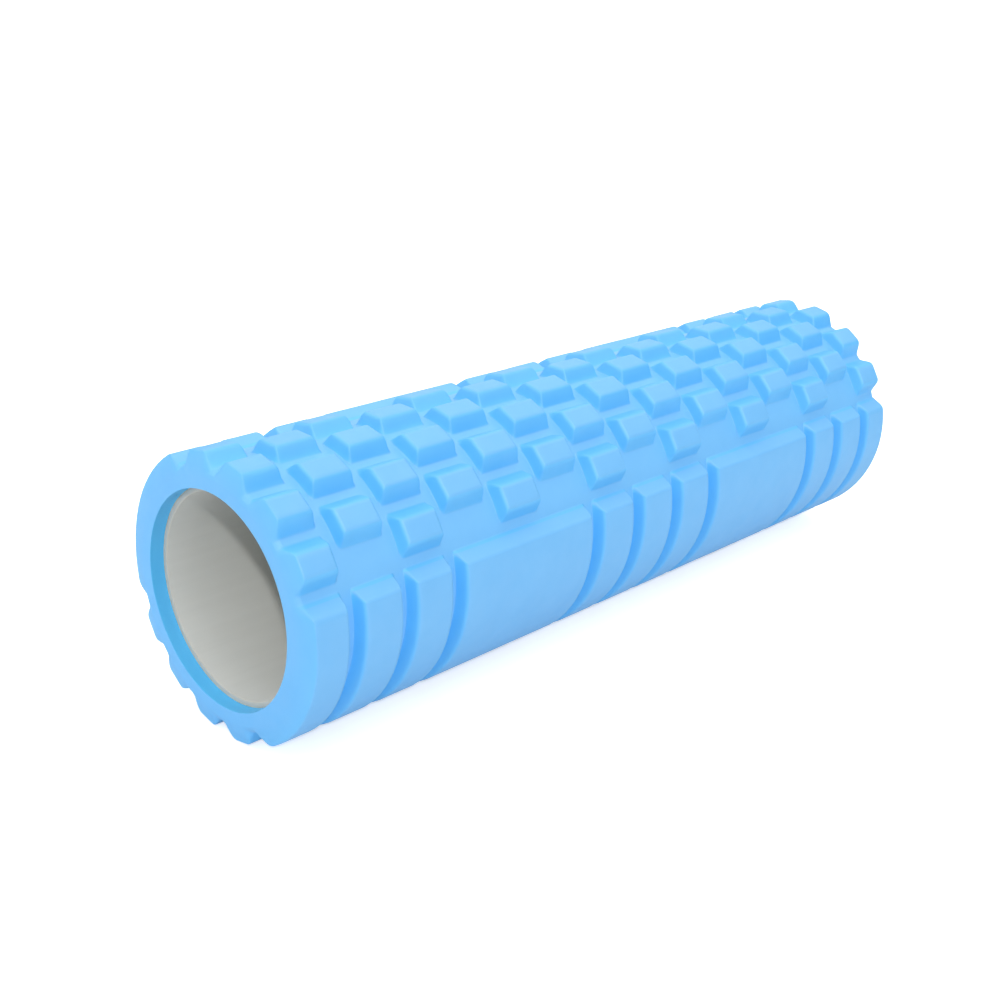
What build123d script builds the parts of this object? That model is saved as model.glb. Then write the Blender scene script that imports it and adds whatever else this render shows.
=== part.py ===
from build123d import *

import os
from math import cos, radians, sin

# Foam massage roller: a rigid hollow core tube inside a thick one-piece foam sleeve, whose
# moulded tread has two zones of small blocks and, between them, two zones of ribs and panels.
#
# Millimetres. The axis lies along X, Z is up, and the origin is on the axis at mid-length.
# Angles run round the axis from straight up (+Z) towards the front (-Y).

# ---------------------------------------------------------------- overall size
roller_length = 450.0
crest_radius = 68.0          # over the ribs and over the corners of the blocks
tread_depth = 6.8            # from a crest down to the floor of a groove
floor_radius = crest_radius - tread_depth
root_radius = floor_radius - 2.0    # pads are built from below the floor, so that they join it

# ---------------------------------------------------------------- core tube and its bond
sleeve_bore_radius = 51.0
bond_thickness = 0.2
tube_outer_radius = sleeve_bore_radius - bond_thickness
tube_wall = 2.5
tube_inner_radius = tube_outer_radius - tube_wall
tube_recess = 7.2            # the tube stops this far inside each end of the sleeve
tube_length = roller_length - 2 * tube_recess
tube_rim_chamfer = 0.4
bore_edge_chamfer = 0.5

# ---------------------------------------------------------------- tread along the axis
column_count = 15
middle_pitch = 31.3          # the nine columns in the middle
outer_pitch = 29.6           # the two columns beyond them on each side
middle_columns = 9
outer_columns = 2
groove_floor = 4.9           # width of the flat floor between two columns
groove_flank = 2.2           # how far a column's end wall leans back over the full depth
end_flank = 2.8              # the same at the two ends of the roller

# Columns joined into each rib or panel, from the first end to the other.
rib_zone_columns = [1, 1, 1, 3, 1, 1, 1, 3, 1, 1, 1]

# ---------------------------------------------------------------- tread round the axis
block_pitch = 23.1           # degrees from one block to the next in the same column
blocks_per_zone = 4          # in the even columns; the odd ones have one fewer, half a pitch on
block_crest_angle = 9.6      # degrees across a block's flat top
block_foot_angle = 19.1      # degrees across its foot, on the groove floor
block_zone_centres = [23.1, 203.1]
rib_zone_centres = [113.1, 293.1]
block_zone_angle = blocks_per_zone * block_pitch
rib_zone_angle = 180.0 - block_zone_angle
rib_foot_gap = 2.0           # degrees from the zone's edge to the foot of a rib
rib_crest_gap = 7.75         # degrees from the zone's edge to the start of its top
clear_radius = 2.0 * crest_radius   # well outside the tread


def column_edges():
    """Centre of every groove between two columns, with the two ends of the roller."""
    middle_half = middle_columns * middle_pitch / 2
    middle = [i * middle_pitch - middle_half for i in range(middle_columns + 1)]
    outer = [middle_half + (i + 1) * outer_pitch for i in range(outer_columns)]
    before = [-roller_length / 2] + [-x for x in reversed(outer)]
    return before + middle + outer + [roller_length / 2]


def wall_points(edge, inward, top_radius):
    """One end wall of a column in section, root to top; inward is +1 or -1."""
    if abs(edge) == roller_length / 2:
        top = edge + inward * end_flank * (top_radius - floor_radius) / tread_depth
        return [(edge, root_radius), (edge, floor_radius), (top, top_radius)]
    foot = edge + inward * groove_floor / 2
    lean = inward * groove_flank / tread_depth
    root = foot + lean * (root_radius - floor_radius)
    top = foot + lean * (top_radius - floor_radius)
    return [(root, root_radius), (top, top_radius)]


def column_section(first_edge, last_edge, top_radius):
    """Closed outline of a column between two grooves, as (x, radius)."""
    first_wall = wall_points(first_edge, 1, top_radius)
    last_wall = wall_points(last_edge, -1, top_radius)
    return first_wall + last_wall[::-1]


def rim_point(radius, angle):
    """Point on the YZ plane at a radius and an angle from straight up."""
    return Vector(-radius * sin(radians(angle)), radius * cos(radians(angle)))


def block_section(centre):
    """Outline of one row of blocks across the axis: a flat top and two leaning sides."""
    sides = []
    for turn in (-1, 1):
        crest = rim_point(crest_radius, centre + turn * block_crest_angle / 2)
        foot = rim_point(floor_radius, centre + turn * block_foot_angle / 2)
        sides.append((crest, foot + (foot - crest) * 0.3))
    (first_crest, first_root), (last_crest, last_root) = sides
    return [first_root, first_crest, last_crest, last_root]


def rib_section(centre):
    """Outline of one rib zone across the axis: two leaning ends, open past the crest."""
    sides = []
    for turn in (-1, 1):
        edge = centre + turn * rib_zone_angle / 2
        crest = rim_point(crest_radius, edge - turn * rib_crest_gap)
        foot = rim_point(floor_radius, edge - turn * rib_foot_gap)
        sides.append((crest + (crest - foot) * 0.3, foot + (foot - crest) * 0.3))
    (first_over, first_root), (last_over, last_root) = sides
    return [first_root, first_over, rim_point(clear_radius, centre), last_over, last_root]


def tread_pads(column_outlines, cross_outlines):
    """Rings turned about the axis, kept only where the cross outlines let them stand."""
    with BuildPart() as pads:
        with BuildSketch(Plane.XZ):
            for outline in column_outlines:
                with BuildLine():
                    Polyline(*outline, close=True)
                make_face()
        revolve(axis=Axis.X)
        with BuildSketch(Plane.YZ.offset(-roller_length)):
            for outline in cross_outlines:
                with BuildLine():
                    Polyline(*outline, close=True)
                make_face()
        extrude(amount=2 * roller_length, mode=Mode.INTERSECT)
    return pads.part


def block_centres(count):
    """Angles of the blocks in one column, over both zones."""
    first = -(count - 1) / 2
    return [zone + (first + i) * block_pitch for zone in block_zone_centres for i in range(count)]


def pipe(outer_radius, inner_radius, length):
    """Plain pipe along the axis, centred on the origin."""
    with BuildPart() as wall:
        with BuildSketch(Plane.YZ.offset(-length / 2)):
            Circle(outer_radius)
            Circle(inner_radius, mode=Mode.SUBTRACT)
        extrude(amount=length)
    return wall.part


def end_circles(part, radius):
    """The two circular edges of one radius that lie furthest out along the axis."""
    circles = part.edges().filter_by(GeomType.CIRCLE)
    matching = circles.filter_by(lambda edge: abs(edge.radius - radius) < 0.01)
    along = matching.sort_by(Axis.X)
    return [along[0], along[-1]]


# ---------------------------------------------------------------- foam sleeve
edges = column_edges()
over_crest = crest_radius + 1.0

block_columns = [column_section(edges[i], edges[i + 1], over_crest) for i in range(column_count)]
even_blocks = tread_pads(
    block_columns[0::2], [block_section(a) for a in block_centres(blocks_per_zone)]
)
odd_blocks = tread_pads(
    block_columns[1::2], [block_section(a) for a in block_centres(blocks_per_zone - 1)]
)

rib_columns = []
first_column = 0
for joined in rib_zone_columns:
    last_edge = edges[first_column + joined]
    rib_columns.append(column_section(edges[first_column], last_edge, crest_radius))
    first_column += joined
ribs = tread_pads(rib_columns, [rib_section(a) for a in rib_zone_centres])

with BuildPart() as foam_sleeve:
    add(pipe(floor_radius, sleeve_bore_radius, roller_length))
    chamfer(end_circles(foam_sleeve.part, sleeve_bore_radius), bore_edge_chamfer)
    add(ribs)
    add(even_blocks)
    add(odd_blocks)

# ---------------------------------------------------------------- core tube
with BuildPart() as core_tube:
    add(pipe(tube_outer_radius, tube_inner_radius, tube_length))
    chamfer(end_circles(core_tube.part, tube_inner_radius), tube_rim_chamfer)

# ---------------------------------------------------------------- cement between the two
with BuildPart() as bond_film:
    add(pipe(sleeve_bore_radius, tube_outer_radius, tube_length))

# ---------------------------------------------------------------- one file for each piece
os.makedirs("parts", exist_ok=True)

foam_sleeve.part.label = "foam_sleeve"
core_tube.part.label = "core_tube"
bond_film.part.label = "bond_film"

for piece in (foam_sleeve, core_tube, bond_film):
    export_step(piece.part, f"parts/{piece.part.label}.step")
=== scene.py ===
from math import atan2, cos, pi, radians, sin, sqrt, tan

import bpy
import numpy as np
from mathutils import Matrix, Vector, noise


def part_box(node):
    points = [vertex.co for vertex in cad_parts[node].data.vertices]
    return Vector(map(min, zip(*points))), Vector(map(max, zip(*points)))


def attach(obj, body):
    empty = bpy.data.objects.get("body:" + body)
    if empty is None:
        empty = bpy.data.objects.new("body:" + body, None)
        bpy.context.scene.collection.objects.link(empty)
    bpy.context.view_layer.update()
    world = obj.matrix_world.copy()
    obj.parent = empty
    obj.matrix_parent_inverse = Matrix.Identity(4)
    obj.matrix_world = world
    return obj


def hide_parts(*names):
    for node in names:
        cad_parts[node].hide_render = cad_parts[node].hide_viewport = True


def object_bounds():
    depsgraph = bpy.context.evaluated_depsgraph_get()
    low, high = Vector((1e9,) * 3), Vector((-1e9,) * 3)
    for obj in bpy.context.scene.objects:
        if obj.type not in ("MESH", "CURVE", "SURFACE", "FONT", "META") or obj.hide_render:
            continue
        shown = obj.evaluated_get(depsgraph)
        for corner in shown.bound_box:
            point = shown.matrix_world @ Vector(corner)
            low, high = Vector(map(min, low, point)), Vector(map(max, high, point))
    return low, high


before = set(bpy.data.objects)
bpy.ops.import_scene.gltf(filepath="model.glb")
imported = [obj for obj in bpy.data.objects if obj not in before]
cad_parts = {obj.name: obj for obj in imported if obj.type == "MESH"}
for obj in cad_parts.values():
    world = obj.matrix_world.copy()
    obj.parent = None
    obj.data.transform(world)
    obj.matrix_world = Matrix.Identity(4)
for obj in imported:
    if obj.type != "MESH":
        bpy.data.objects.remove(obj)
cad_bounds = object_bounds()

# The roller lies along X with Z up. Angles run round the axis from straight up (+Z) towards the
# front (-Y), in degrees. Lengths are metres.
MM = 0.001
CLOSE = 0.001 * MM           # two lengths nearer than this are the same

# ---------------------------------------------------------------- sizes read from the frame
sleeve_low, sleeve_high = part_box("foam_sleeve")
tube_low, tube_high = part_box("core_tube")
film_low, film_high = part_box("bond_film")
END = sleeve_high.x                        # half the roller's length
CREST = (sleeve_high.y - sleeve_low.y) / 2   # radius over the ribs
BORE = (film_high.z - film_low.z) / 2      # radius of the sleeve's bore
TUBE_OUT = (tube_high.z - tube_low.z) / 2
TUBE_END = tube_high.x

# ---------------------------------------------------------------- tread layout
DEPTH = 6.8 * MM             # crest to groove floor
FLOOR = CREST - DEPTH
MIDDLE_PITCH = 31.3 * MM     # the nine columns in the middle
OUTER_PITCH = 29.6 * MM      # the two columns beyond them on each side
MIDDLE_COLUMNS = 9
OUTER_COLUMNS = 2
GROOVE_HALF = 2.45 * MM      # half the flat floor between two columns
GROOVE_FLANK = 2.2 * MM      # how far a column's end wall leans back
END_FLANK = 2.8 * MM         # the same at the roller's two ends
RIB_ZONE_COLUMNS = [1, 1, 1, 3, 1, 1, 1, 3, 1, 1, 1]   # columns joined into each rib or panel

# Degrees round the axis.
BLOCK_PITCH = 23.1
BLOCKS_PER_ZONE = 4          # in the even columns; the odd ones have one fewer
BLOCK_CREST_HALF = 4.8
BLOCK_FOOT_HALF = 9.55
BLOCK_ZONES = [23.1, 203.1]
RIB_ZONES = [113.1, 293.1]
RIB_ZONE_HALF = (180.0 - BLOCKS_PER_ZONE * BLOCK_PITCH) / 2
RIB_FOOT_GAP = 2.0           # from the zone's edge to the foot of a rib
RIB_CREST_GAP = 7.75         # from the zone's edge to the start of its top

# Radii of the rounded feet and crests.
FOOT_FILLET = 0.7 * MM
CREST_FILLET = 2.4 * MM
END_CREST_FILLET = 1.2 * MM
BLOCK_FOOT_FILLET = 1.8 * MM
BLOCK_CREST_FILLET = 4.0 * MM
SOFT_FOOT_FILLET = 2.8 * MM  # sides of the blocks and ribs at the roller's two ends
SOFT_CREST_FILLET = 5.5 * MM
END_EDGE = 4.5 * MM          # rounding where the end face meets the groove floor
BORE_EDGE = 0.35 * MM
CORNER_POWER = 2.2           # how two walls share a corner: higher is sharper
SLOPE_START = 0.1            # share of a rib's end slope that keeps the groove's colour; above it the slope gets the crest's colour as a painted highlight
WALL_RADIUS = (CREST + FLOOR) / 2

# Heights on a wall, from floor to crest, where the mesh has a line.
WALL_HEIGHTS = [h * MM for h in (0.0, 0.08, 0.35, 1.7, 3.3, 4.7, 5.6, 6.15, 6.5, 6.73, 6.8)]


# ---------------------------------------------------------------- wall profile
PROFILE_STEPS = 400          # points that a wall's profile is worked out at


class Wall:
    """A leaning wall with a rounded foot and crest; distances start at its sharp foot corner."""

    def __init__(self, run, foot=FOOT_FILLET, crest=CREST_FILLET):
        self.run = run
        self.foot = foot
        self.crest = crest
        self.lean = atan2(DEPTH, run)
        self.foot_reach = foot * tan(self.lean / 2)
        self.crest_reach = crest * tan(self.lean / 2)

    def distance(self, height):
        """Distance in from the foot corner at which the wall has this height."""
        foot_top = self.foot * (1 - cos(self.lean))
        crest_low = DEPTH - self.crest * (1 - cos(self.lean))
        if height <= foot_top:
            return -self.foot_reach + sqrt(max(0.0, 2 * self.foot * height - height ** 2))
        if height >= crest_low:
            drop = DEPTH - height
            curve = sqrt(max(0.0, 2 * self.crest * drop - drop ** 2))
            return self.run + self.crest_reach - curve
        return height / tan(self.lean)

    def lines(self):
        return [self.distance(h) for h in WALL_HEIGHTS]

    def share(self, distances):
        """Height as a share of the depth, for an array of distances from the foot corner."""
        fine = np.linspace(0.0, 1.0, PROFILE_STEPS)
        heights = DEPTH * (1 - np.cos(pi * fine)) / 2
        along = [self.distance(h) for h in heights]
        return np.interp(distances, along, heights / DEPTH)


def degrees_of(length):
    return length / WALL_RADIUS * 180 / pi


def metres_of(angle):
    return angle * pi / 180 * WALL_RADIUS


GROOVE_WALL = Wall(GROOVE_FLANK)
END_WALL = Wall(END_FLANK, foot=0.0, crest=END_CREST_FILLET)
BLOCK_RUN = metres_of(BLOCK_FOOT_HALF - BLOCK_CREST_HALF)
RIB_RUN = metres_of(RIB_CREST_GAP - RIB_FOOT_GAP)
BLOCK_WALL = Wall(BLOCK_RUN, foot=BLOCK_FOOT_FILLET, crest=BLOCK_CREST_FILLET)
RIB_WALL = Wall(RIB_RUN)
SOFT_BLOCK_WALL = Wall(BLOCK_RUN, foot=SOFT_FOOT_FILLET, crest=SOFT_CREST_FILLET)
SOFT_RIB_WALL = Wall(RIB_RUN, foot=SOFT_FOOT_FILLET, crest=SOFT_CREST_FILLET)


# ---------------------------------------------------------------- tread height
def column_edges():
    """Groove centres between columns, with the two ends of the roller."""
    middle_half = MIDDLE_COLUMNS * MIDDLE_PITCH / 2
    middle = [i * MIDDLE_PITCH - middle_half for i in range(MIDDLE_COLUMNS + 1)]
    outer = [middle_half + (i + 1) * OUTER_PITCH for i in range(OUTER_COLUMNS)]
    return [-END] + [-x for x in reversed(outer)] + middle + outer + [END]


EDGES = column_edges()
COLUMNS = len(EDGES) - 1


def rib_edges():
    """First and last edge of each rib and panel."""
    spans = []
    first = 0
    for joined in RIB_ZONE_COLUMNS:
        spans.append((EDGES[first], EDGES[first + joined]))
        first += joined
    return spans


def edge_share(edge, inward, x):
    """Share of full height at x from the wall that starts at an edge and rises inward."""
    if abs(abs(edge) - END) < CLOSE:
        return END_WALL.share(inward * (x - edge))
    return GROOVE_WALL.share(inward * (x - edge) - GROOVE_HALF)


def span_share(first_edge, last_edge, x):
    return np.minimum(edge_share(first_edge, 1, x), edge_share(last_edge, -1, x))


def turn_from(angle, centre):
    """Signed degrees from centre to angle, within half a turn."""
    return (angle - centre + 180.0) % 360.0 - 180.0


def block_centres(column):
    count = BLOCKS_PER_ZONE - column % 2
    first = -(count - 1) / 2
    return [zone + (first + i) * BLOCK_PITCH for zone in BLOCK_ZONES for i in range(count)]


def side_walls(column):
    """Side walls of the blocks and ribs in a column; those at the roller's two ends are softer."""
    if column in (0, COLUMNS - 1):
        return SOFT_BLOCK_WALL, SOFT_RIB_WALL
    return BLOCK_WALL, RIB_WALL


def meet(a, b):
    """Share where two walls cross, rounded along the corner between them."""
    missing = (1 - a) ** CORNER_POWER + (1 - b) ** CORNER_POWER
    return 1 - np.minimum(missing ** (1 / CORNER_POWER), 1.0)


def tread(x, angle, column):
    """Height above the groove floor and a tone that places the walls' painted shade, for arrays of
    x and angle in one column.
    """
    x, angle = np.broadcast_arrays(x, angle)
    share = np.zeros(x.shape)
    top = np.full(x.shape, DEPTH)
    along = span_share(EDGES[column], EDGES[column + 1], x)
    block_wall, rib_wall = side_walls(column)
    facet = CREST * cos(radians(BLOCK_CREST_HALF))
    for centre in block_centres(column):
        turn = np.abs(turn_from(angle, centre))
        across = block_wall.share(metres_of(BLOCK_FOOT_HALF - turn))
        share = np.maximum(share, meet(along, across))
        on_top = turn < BLOCK_CREST_HALF
        flat = facet / np.cos(np.radians(np.where(on_top, turn, 0.0))) - FLOOR
        top = np.where(on_top, flat, top)
    # The tone runs from floor to crest; the foam colour paints the walls between them darker as
    # shade.
    tone = share.copy()
    rib = np.zeros(x.shape)
    for first_edge, last_edge in rib_edges():
        rib = np.maximum(rib, span_share(first_edge, last_edge, x))
    for centre in RIB_ZONES:
        turn = np.abs(turn_from(angle, centre))
        across = rib_wall.share(metres_of(RIB_ZONE_HALF - RIB_FOOT_GAP - turn))
        share = np.maximum(share, meet(rib, across))
        tone = np.maximum(tone, meet(rib, across))
        # Rib end slopes face the light, so they get the crest's colour as a painted highlight
        # instead of the walls' painted shade.
        tone = np.where((across > SLOPE_START) & (across < rib), 1.0, tone)
    return share * top, tone


# ---------------------------------------------------------------- mesh lines
def spread(first, last, gaps):
    """Points between two values, without the ends."""
    return [first + (last - first) * i / gaps for i in range(1, gaps)]


STITCH_HALF = 0.5 * MM       # half the strip that joins the lines of two neighbouring columns
TOP_GAPS = 2                 # spaces between lines across a flat top
RIB_LINE_STEP = 4.5          # degrees between lines over a rib's top
ZONE_EDGE_GAPS = (4.0, 8.0)  # degrees in from a zone's edge, lines over its bare floor
END_EDGE_LINES = 6
LINE_GAP = 0.08 * MM         # a line nearer than this to a wall's line is left out


def column_lines(column):
    """Places along the axis where one column's mesh has a line."""
    first, last = EDGES[column], EDGES[column + 1]
    rise = [first + GROOVE_HALF + d for d in GROOVE_WALL.lines()]
    fall = [last - GROOVE_HALF - d for d in reversed(GROOVE_WALL.lines())]
    start, stop = [first + STITCH_HALF], [last - STITCH_HALF]
    if column == 0:
        rise = end_lines()
        start = []
    if column == COLUMNS - 1:
        fall = [-x for x in reversed(end_lines())]
        stop = []
    return start + rise + spread(rise[-1], fall[0], TOP_GAPS) + fall + stop


def end_lines():
    """Lines at the first end: round the edge, then up the end wall to its crest."""
    turns = [i * pi / (2 * END_EDGE_LINES) for i in range(END_EDGE_LINES)]
    round_over = [-END + END_EDGE * (1 - cos(a)) for a in turns]
    wall = [-END + END_WALL.distance(h) for h in WALL_HEIGHTS]
    kept = [x for x in round_over if min(abs(x - w) for w in wall) > LINE_GAP]
    return sorted(kept + wall)


def angle_lines(column):
    """Angles where one column's mesh has a line, once round from the first rib zone's centre."""
    found = []
    block_side, rib_side = side_walls(column)
    block_wall = [BLOCK_FOOT_HALF - degrees_of(d) for d in block_side.lines()]
    for centre in block_centres(column):
        side = block_wall + spread(block_wall[-1], -block_wall[-1], TOP_GAPS)
        found += [centre - a for a in side]
        found += [centre + a for a in block_wall]
    rib_foot = RIB_ZONE_HALF - RIB_FOOT_GAP
    rib_wall = [rib_foot - degrees_of(d) for d in rib_side.lines()]
    gaps = round(2 * rib_wall[-1] / RIB_LINE_STEP)
    for centre in RIB_ZONES:
        found += [centre - a for a in rib_wall] + [centre + a for a in rib_wall]
        found += [centre + a for a in spread(-rib_wall[-1], rib_wall[-1], gaps)]
        found += [centre - RIB_ZONE_HALF, centre + RIB_ZONE_HALF]
    if column % 2:
        for zone in BLOCK_ZONES:
            edge = BLOCKS_PER_ZONE * BLOCK_PITCH / 2
            found += [zone + side * (edge - gap) for side in (-1, 1) for gap in ZONE_EDGE_GAPS]
    else:
        for zone in BLOCK_ZONES:
            found += [zone + i * BLOCK_PITCH for i in (-1, 0, 1)]
    start = RIB_ZONES[0]
    return sorted(set(round((a - start) % 360.0, 5) for a in found))


# ---------------------------------------------------------------- sleeve mesh
WANDER_SIZE = 28 * MM
WANDER_DEPTH = 0.12 * MM
WANDER_PEAK = 0.7            # highest wave, which only just reaches the tread's true height
WANDER_START = Vector((3.0, 1.11, 0.0))   # where in the noise the sleeve begins
FACE_SHADE = 0.5              # level of painted shade on the end faces; it is 1 in the bore and 0 on the tread
FACE_RING = 3.0 * MM         # width of the end face's inner ring
BORE_LINES = (TUBE_END, TUBE_END - 0.02, 0.1, 0.0)   # rings along half the bore
FLAT_FOLD = 0.03 * MM        # a face folded less than this stays whole
SAME_ANGLE = 0.001           # two angles nearer than this are the same
PAST_ALL = 1e9               # an angle beyond every line


def wander(x, angle):
    """Slow random value at a place on the sleeve."""
    a = radians(angle)
    place = Vector((x, CREST * sin(a), CREST * cos(a))) / WANDER_SIZE
    return noise.noise(place + WANDER_START)


class MeshParts:
    """Vertices and faces gathered for one mesh."""

    def __init__(self):
        self.points = []
        self.faces = []
        self.height = []
        self.tone = []
        self.skin = []

    def ring(self, x, radii, angles, heights=None, tones=None, skin=0.0):
        """Adds one closed ring and returns its vertex numbers."""
        first = len(self.points)
        self.skin += [skin] * len(angles)
        for radius, angle in zip(radii, angles):
            a = radians(angle)
            self.points.append((x, -radius * sin(a), radius * cos(a)))
        self.height += list(heights) if heights is not None else [0.0] * len(angles)
        self.tone += list(tones) if tones is not None else [0.0] * len(angles)
        return list(range(first, len(self.points)))

    def join(self, near, far):
        """Faces between two rings of equal count; folded ones are split along their ridge."""
        count = len(near)
        for i in range(count):
            j = (i + 1) % count
            a, b, c, d = near[i], near[j], far[j], far[i]
            fold = self.height[a] + self.height[c] - self.height[b] - self.height[d]
            if abs(fold) < FLAT_FOLD:
                self.faces.append((a, d, c, b))
            elif fold > 0:
                self.faces += [(a, c, b), (a, d, c)]
            else:
                self.faces += [(a, d, b), (d, c, b)]

    def zip(self, near, near_angles, far, far_angles):
        """Triangles between two rings with different angles, both once round."""
        i = j = 0
        near_next = list(near_angles[1:]) + [near_angles[0] + 360.0]
        far_next = list(far_angles[1:]) + [far_angles[0] + 360.0]
        while i < len(near) or j < len(far):
            a, d = near[i % len(near)], far[j % len(far)]
            near_turn = near_next[i] if i < len(near) else PAST_ALL
            far_turn = far_next[j] if j < len(far) else PAST_ALL
            if abs(near_turn - far_turn) < SAME_ANGLE:
                b, c = near[(i + 1) % len(near)], far[(j + 1) % len(far)]
                self.faces.append((a, d, c, b))
                i += 1
                j += 1
            elif near_turn < far_turn:
                self.faces.append((a, d, near[(i + 1) % len(near)]))
                i += 1
            else:
                self.faces.append((a, d, far[(j + 1) % len(far)]))
                j += 1

    def build(self, name):
        mesh = bpy.data.meshes.new(name)
        mesh.from_pydata(self.points, [], self.faces)
        mesh.update()
        piece = bpy.data.objects.new(name, mesh)
        bpy.context.scene.collection.objects.link(piece)
        mesh.polygons.foreach_set("use_smooth", [True] * len(mesh.polygons))
        return piece


def edge_drop(x):
    """How far the floor falls away in the rounding at the two ends."""
    inside = END - abs(x)
    if inside >= END_EDGE:
        return 0.0
    return END_EDGE - sqrt(END_EDGE ** 2 - (END_EDGE - inside) ** 2)


def build_sleeve():
    parts = MeshParts()
    last_ring = last_angles = None
    first_ring = None
    for column in range(COLUMNS):
        turns = np.array(angle_lines(column))
        angles = turns + RIB_ZONES[0]
        rings = []
        for x in column_lines(column):
            heights, tones = tread(np.array(x), angles, column)
            waves = np.array([wander(x, a) for a in angles])
            sway = (waves - WANDER_PEAK) * WANDER_DEPTH
            drop = edge_drop(x) * (1 - heights / DEPTH)
            radii = FLOOR + heights - drop + sway * (1 - edge_drop(x) / END_EDGE)
            # Painted shade of the end faces, fading in over the rounded end edge.
            skin = FACE_SHADE * max(0.0, 1 - (END - abs(x)) / END_EDGE)
            rings.append(parts.ring(x, radii, angles, heights, tones, skin))
        if first_ring is None:
            first_ring = rings[0]
        else:
            parts.zip(last_ring, last_angles, rings[0], turns)
        for near, far in zip(rings, rings[1:]):
            parts.join(near, far)
        last_ring, last_angles = rings[-1], turns
    # End faces and bore, from the far end back to the first one.
    angles = last_angles + RIB_ZONES[0]
    round_in = [(BORE_EDGE * (1 - sin(a)), BORE_EDGE * (1 - cos(a)))
                for a in (0.0, pi / 6, pi / 3, pi / 2)]
    face = [(END, BORE + FACE_RING)]
    edge = [(END - back, BORE + out) for back, out in reversed(round_in)]
    bore = [(x, BORE) for x in BORE_LINES]
    half = face + edge + bore
    profile = half + [(-x, r) for x, r in reversed(half[:-1])]
    near = last_ring
    for x, radius in profile:
        # Full painted shade in the bore, the end faces' lighter painted shade elsewhere.
        skin = 1.0 if radius < BORE + BORE_EDGE / 2 else FACE_SHADE
        far = parts.ring(x, [radius] * len(angles), angles, skin=skin)
        parts.join(near, far)
        near = far
    parts.join(near, first_ring)
    piece = parts.build("sleeve_foam")
    # Tone that places the painted shade on the groove walls.
    tone = piece.data.attributes.new("wall_shade_tone", "FLOAT", "POINT")
    tone.data.foreach_set("value", np.array(parts.tone, np.float32))
    # Level of the painted shade on the end faces and in the bore.
    face_and_bore_shade = piece.data.attributes.new("face_and_bore_shade", "FLOAT", "POINT")
    face_and_bore_shade.data.foreach_set("value", np.array(parts.skin, np.float32))
    normals = piece.modifiers.new("even_normals", "WEIGHTED_NORMAL")
    normals.mode = "FACE_AREA"
    return piece


# ---------------------------------------------------------------- tube and cement
LATHE_SIDES = 192


def lathe(name, profile):
    """Closed profile of (x, radius) turned about the axis."""
    parts = MeshParts()
    angles = [360.0 * i / LATHE_SIDES for i in range(LATHE_SIDES)]
    rings = [parts.ring(x, [radius] * LATHE_SIDES, angles) for x, radius in profile]
    for near, far in zip(rings, rings[1:] + rings[:1]):
        parts.join(near, far)
    return parts.build(name)


TUBE_WALL = 2.5 * MM
TUBE_LINES = (0.2, 0.15, 0.1, 0.05, 0.0)   # rings along half the tube's inside
RIM_ROUND = 0.3 * MM
RIM_SHARE = 0.7              # share of the rim's rounding that has the painted shade


def build_tube():
    inner = TUBE_OUT - TUBE_WALL
    turns = [radians(a) for a in (0, 22.5, 45, 67.5, 90)]
    outer_end = [(TUBE_END - RIM_ROUND * (1 - sin(a)), TUBE_OUT - RIM_ROUND * (1 - cos(a)))
                 for a in turns]
    inner_end = [(TUBE_END - RIM_ROUND * (1 - sin(a)), inner + RIM_ROUND * (1 - cos(a)))
                 for a in reversed(turns)]
    half = [(0.0, TUBE_OUT), (0.15, TUBE_OUT)] + outer_end + inner_end
    half += [(x, inner) for x in TUBE_LINES]
    profile = half + [(-x, r) for x, r in reversed(half[1:-1])]
    tube = lathe("tube_core", profile)
    # The rim's end is painted darker and warmer as shade, so it reads no brighter than the tube's
    # inside.
    painted_rim_shade = [float(abs(v.co.x) > TUBE_END - RIM_ROUND * RIM_SHARE) for v in tube.data.vertices]
    rim = tube.data.attributes.new("rim_shade_mark", "FLOAT", "POINT")
    rim.data.foreach_set("value", np.array(painted_rim_shade, np.float32))
    return tube


def build_cement():
    profile = [(-TUBE_END, BORE), (TUBE_END, BORE), (TUBE_END, TUBE_OUT), (-TUBE_END, TUBE_OUT)]
    return lathe("cement_layer", profile)


# ---------------------------------------------------------------- materials
def new_material(name):
    material = bpy.data.materials.new(name)
    material.use_nodes = True
    tree = material.node_tree
    shader = tree.nodes["Principled BSDF"]
    return material, tree, shader


def add_noise(tree, coords, scale, detail, roughness=0.5, stretch=None):
    source = coords
    if stretch is not None:
        mapping = tree.nodes.new("ShaderNodeMapping")
        mapping.inputs["Scale"].default_value = stretch
        tree.links.new(coords, mapping.inputs["Vector"])
        source = mapping.outputs["Vector"]
    node = tree.nodes.new("ShaderNodeTexNoise")
    node.inputs["Scale"].default_value = scale
    node.inputs["Detail"].default_value = detail
    node.inputs["Roughness"].default_value = roughness
    tree.links.new(source, node.inputs["Vector"])
    return node.outputs["Fac"]


def add_ramp(tree, value, stops):
    node = tree.nodes.new("ShaderNodeValToRGB")
    ramp = node.color_ramp
    while len(ramp.elements) < len(stops):
        ramp.elements.new(0.5)
    for element, (position, colour) in zip(ramp.elements, stops):
        element.position = position
        element.color = (*colour, 1.0)
    tree.links.new(value, node.inputs["Fac"])
    return node.outputs["Color"]


def add_mix(tree, factor, a, b, blend="MIX"):
    node = tree.nodes.new("ShaderNodeMix")
    node.data_type = "RGBA"
    node.blend_type = blend
    node.clamp_factor = True
    if isinstance(factor, float):
        node.inputs["Factor"].default_value = factor
    else:
        tree.links.new(factor, node.inputs["Factor"])
    tree.links.new(a, node.inputs[6])
    tree.links.new(b, node.inputs[7])
    return node.outputs[2]


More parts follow.
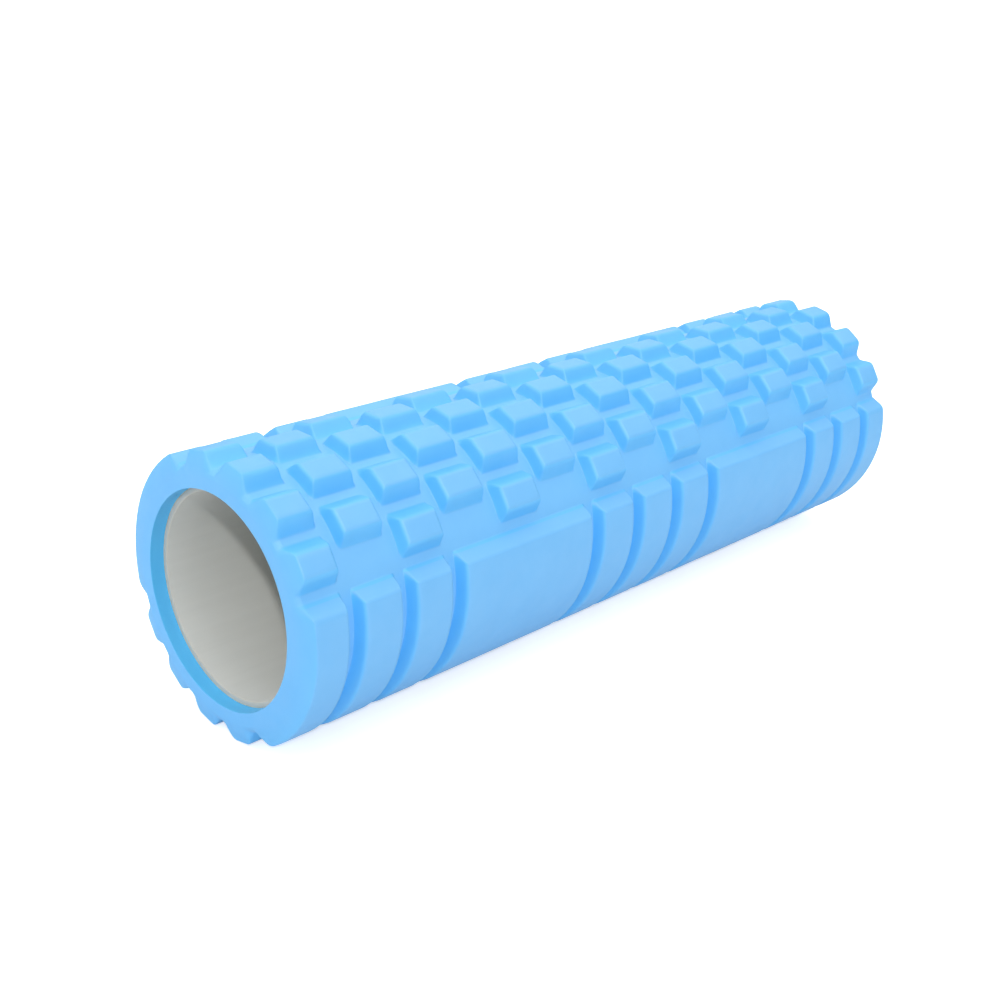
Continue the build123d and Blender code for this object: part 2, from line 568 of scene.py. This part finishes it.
def add_range(tree, value, low, high, out_low, out_high):
    node = tree.nodes.new("ShaderNodeMapRange")
    node.inputs["From Min"].default_value = low
    node.inputs["From Max"].default_value = high
    node.inputs["To Min"].default_value = out_low
    node.inputs["To Max"].default_value = out_high
    tree.links.new(value, node.inputs["Value"])
    return node.outputs["Result"]


def add_bump(tree, height, distance, strength, normal=None):
    node = tree.nodes.new("ShaderNodeBump")
    node.inputs["Distance"].default_value = distance
    node.inputs["Strength"].default_value = strength
    tree.links.new(height, node.inputs["Height"])
    if normal is not None:
        tree.links.new(normal, node.inputs["Normal"])
    return node.outputs["Normal"]


def object_coords(tree):
    return tree.nodes.new("ShaderNodeTexCoord").outputs["Object"]


def foam_material():
    material, tree, shader = new_material("eva_foam")
    coords = object_coords(tree)
    tone = tree.nodes.new("ShaderNodeAttribute")
    tone.attribute_name = "wall_shade_tone"
    # Painted shade: the walls between floor and crest are darker and bluer than the floor and
    # crest, standing in for the shade in the grooves.
    tread_colour_with_wall_shade = add_ramp(tree, tone.outputs["Fac"], [
        (0.0, (0.132, 0.492, 0.905)),
        (0.10, (0.078, 0.490, 0.930)),
        (0.90, (0.078, 0.490, 0.930)),
        (0.97, (0.122, 0.475, 0.890)),
    ])
    # Painted shade: the end faces are a little darker than the tread, and the bore is darker and
    # bluer, standing in for the shade in the recess.
    skin = tree.nodes.new("ShaderNodeAttribute")
    skin.attribute_name = "face_and_bore_shade"
    face_to_bore_shade = add_ramp(tree, skin.outputs["Fac"], [
        (FACE_SHADE, (0.090, 0.455, 0.905)),
        (1.0, (0.050, 0.500, 0.950)),
    ])
    face_shade_share = add_range(tree, skin.outputs["Fac"], 0.0, FACE_SHADE, 0.0, 1.0)
    foam_colour = add_mix(tree, face_shade_share, tread_colour_with_wall_shade, face_to_bore_shade)
    mottle = add_noise(tree, coords, 55.0, 3.0)
    tint = add_ramp(tree, mottle, [(0.3, (0.930, 0.965, 0.980)), (0.7, (1.0, 1.0, 1.0))])
    colour = add_mix(tree, 1.0, foam_colour, tint, "MULTIPLY")
    tree.links.new(colour, shader.inputs["Base Color"])
    cloud = add_noise(tree, coords, 120.0, 2.0)
    tree.links.new(add_range(tree, cloud, 0.3, 0.7, 0.56, 0.64), shader.inputs["Roughness"])
    grain = add_noise(tree, coords, 1900.0, 3.0, 0.6)
    swell = add_noise(tree, coords, 90.0, 2.0)
    normal = add_bump(tree, swell, 0.0004, 0.5)
    tree.links.new(add_bump(tree, grain, 0.00006, 0.6, normal), shader.inputs["Normal"])
    shader.inputs["IOR"].default_value = 1.68
    shader.inputs["Specular IOR Level"].default_value = 1.0
    return material


def tube_material():
    material, tree, shader = new_material("tube_plastic")
    coords = object_coords(tree)
    streak = add_noise(tree, coords, 260.0, 3.0, 0.6, (0.02, 1.0, 1.0))
    wall = add_ramp(tree, streak, [(0.3, (0.610, 0.615, 0.580)), (0.7, (0.630, 0.635, 0.600))])
    # Painted shade on the rim's end: darker and warmer than the tube wall.
    painted_rim_shade = add_ramp(tree, streak, [(0.3, (0.560, 0.525, 0.450)), (0.7, (0.580, 0.545, 0.470))])
    rim = tree.nodes.new("ShaderNodeAttribute")
    rim.attribute_name = "rim_shade_mark"
    colour = add_mix(tree, rim.outputs["Fac"], wall, painted_rim_shade)
    tree.links.new(colour, shader.inputs["Base Color"])
    tree.links.new(add_range(tree, streak, 0.3, 0.7, 0.38, 0.48), shader.inputs["Roughness"])
    fine = add_noise(tree, coords, 900.0, 2.0)
    normal = add_bump(tree, streak, 0.0002, 0.35)
    tree.links.new(add_bump(tree, fine, 0.00004, 0.4, normal), shader.inputs["Normal"])
    return material


def cement_material():
    material, tree, shader = new_material("dried_cement")
    coords = object_coords(tree)
    patch = add_noise(tree, coords, 300.0, 4.0)
    colour = add_ramp(tree, patch, [(0.3, (0.48, 0.40, 0.22)), (0.7, (0.68, 0.60, 0.40))])
    tree.links.new(colour, shader.inputs["Base Color"])
    tree.links.new(add_range(tree, patch, 0.3, 0.7, 0.35, 0.6), shader.inputs["Roughness"])
    tree.links.new(add_bump(tree, patch, 0.0002, 0.5), shader.inputs["Normal"])
    return material


FLOOR_LIFT = 0.56            # glow seen directly, which keeps the floor's shadow faint


def floor_material():
    material, tree, shader = new_material("pale_floor")
    coords = object_coords(tree)
    cloud = add_noise(tree, coords, 1.5, 2.0)
    colour = add_ramp(tree, cloud, [(0.3, (0.88, 0.88, 0.88)), (0.7, (0.90, 0.90, 0.90))])
    tree.links.new(colour, shader.inputs["Base Color"])
    shader.inputs["Roughness"].default_value = 0.9
    shader.inputs["Specular IOR Level"].default_value = 0.1
    path = tree.nodes.new("ShaderNodeLightPath")
    glow = add_range(tree, path.outputs["Is Camera Ray"], 0.0, 1.0, 0.0, FLOOR_LIFT)
    shader.inputs["Emission Color"].default_value = (1, 1, 1, 1)
    tree.links.new(glow, shader.inputs["Emission Strength"])
    return material


# ---------------------------------------------------------------- camera, floor and light
VIEW_HEADING = 43.46         # degrees from +X towards +Y
VIEW_PITCH = -22.26
VIEW_ROLL = 2.86
VIEW_DISTANCE = 0.7557
VIEW_AIM = Vector((-0.0251, 0.0212, -0.0109))
LENS = 49.85                 # millimetres
SENSOR = 36.0
NEAR_CLIP = 0.01
FAR_CLIP = 200.0
FLOOR_HALF = 60.0


def view_axes(heading, pitch):
    """Forward, right and up directions of a level camera."""
    h, p = radians(heading), radians(pitch)
    forward = Vector((cos(h) * cos(p), sin(h) * cos(p), sin(p)))
    right = forward.cross(Vector((0, 0, 1))).normalized()
    return forward, right, right.cross(forward)


def add_camera():
    data = bpy.data.cameras.new("camera")
    data.lens = LENS
    data.sensor_width = SENSOR
    data.clip_start = NEAR_CLIP
    data.clip_end = FAR_CLIP
    camera = bpy.data.objects.new("camera", data)
    bpy.context.scene.collection.objects.link(camera)
    forward, level_right, level_up = view_axes(VIEW_HEADING, VIEW_PITCH)
    roll = radians(VIEW_ROLL)
    right = level_right * cos(roll) + level_up * sin(roll)
    up = level_up * cos(roll) - level_right * sin(roll)
    turn = Matrix((right, up, -forward)).transposed().to_4x4()
    camera.matrix_world = Matrix.Translation(VIEW_AIM - forward * VIEW_DISTANCE) @ turn
    bpy.context.scene.camera = camera


def add_sun(name, towards, spread, strength):
    """Even light from one direction; spread is the angle in degrees that its source fills."""
    data = bpy.data.lights.new(name, "SUN")
    data.energy = strength
    data.angle = radians(spread)
    light = bpy.data.objects.new(name, data)
    bpy.context.scene.collection.objects.link(light)
    light.rotation_euler = Vector(towards).to_track_quat("Z", "Y").to_euler()


def add_floor():
    mesh = bpy.data.meshes.new("floor")
    z = cad_bounds[0][2]
    sides = ((-1, -1), (1, -1), (1, 1), (-1, 1))
    corners = [(x * FLOOR_HALF, y * FLOOR_HALF, z) for x, y in sides]
    mesh.from_pydata(corners, [], [(0, 1, 2, 3)])
    floor = bpy.data.objects.new("floor", mesh)
    bpy.context.scene.collection.objects.link(floor)
    mesh.materials.append(floor_material())


def add_world(seen, felt):
    """White surroundings: one strength as the backdrop seen directly, one as light."""
    world = bpy.data.worlds.new("world")
    world.use_nodes = True
    tree = world.node_tree
    background = tree.nodes["Background"]
    background.inputs["Color"].default_value = (1, 1, 1, 1)
    path = tree.nodes.new("ShaderNodeLightPath")
    strength = add_range(tree, path.outputs["Is Camera Ray"], 0.0, 1.0, felt, seen)
    tree.links.new(strength, background.inputs["Strength"])
    bpy.context.scene.world = world


bpy.context.scene.view_settings.view_transform = "Standard"
add_camera()
add_world(seen=1.0, felt=0.0)
add_floor()
add_sun("overhead", (0.0, 0.0, 1.0), 130.0, 3.20)
add_sun("key", (-0.512, -0.653, 0.558), 2.5, 1.04)
add_sun("back", (0.64, 0.66, 0.20), 30.0, 0.25)
add_sun("end", (-0.93, 0.10, 0.35), 50.0, 0.12)
add_sun("left", (-0.55, 0.78, 0.30), 40.0, 0.36)

# ---------------------------------------------------------------- pieces
sleeve = build_sleeve()
sleeve.data.materials.append(foam_material())
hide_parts("foam_sleeve")
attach(sleeve, "root")

tube = build_tube()
tube.data.materials.append(tube_material())
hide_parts("core_tube")
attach(tube, "root")

cement = build_cement()
cement.data.materials.append(cement_material())
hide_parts("bond_film")
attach(cement, "root")
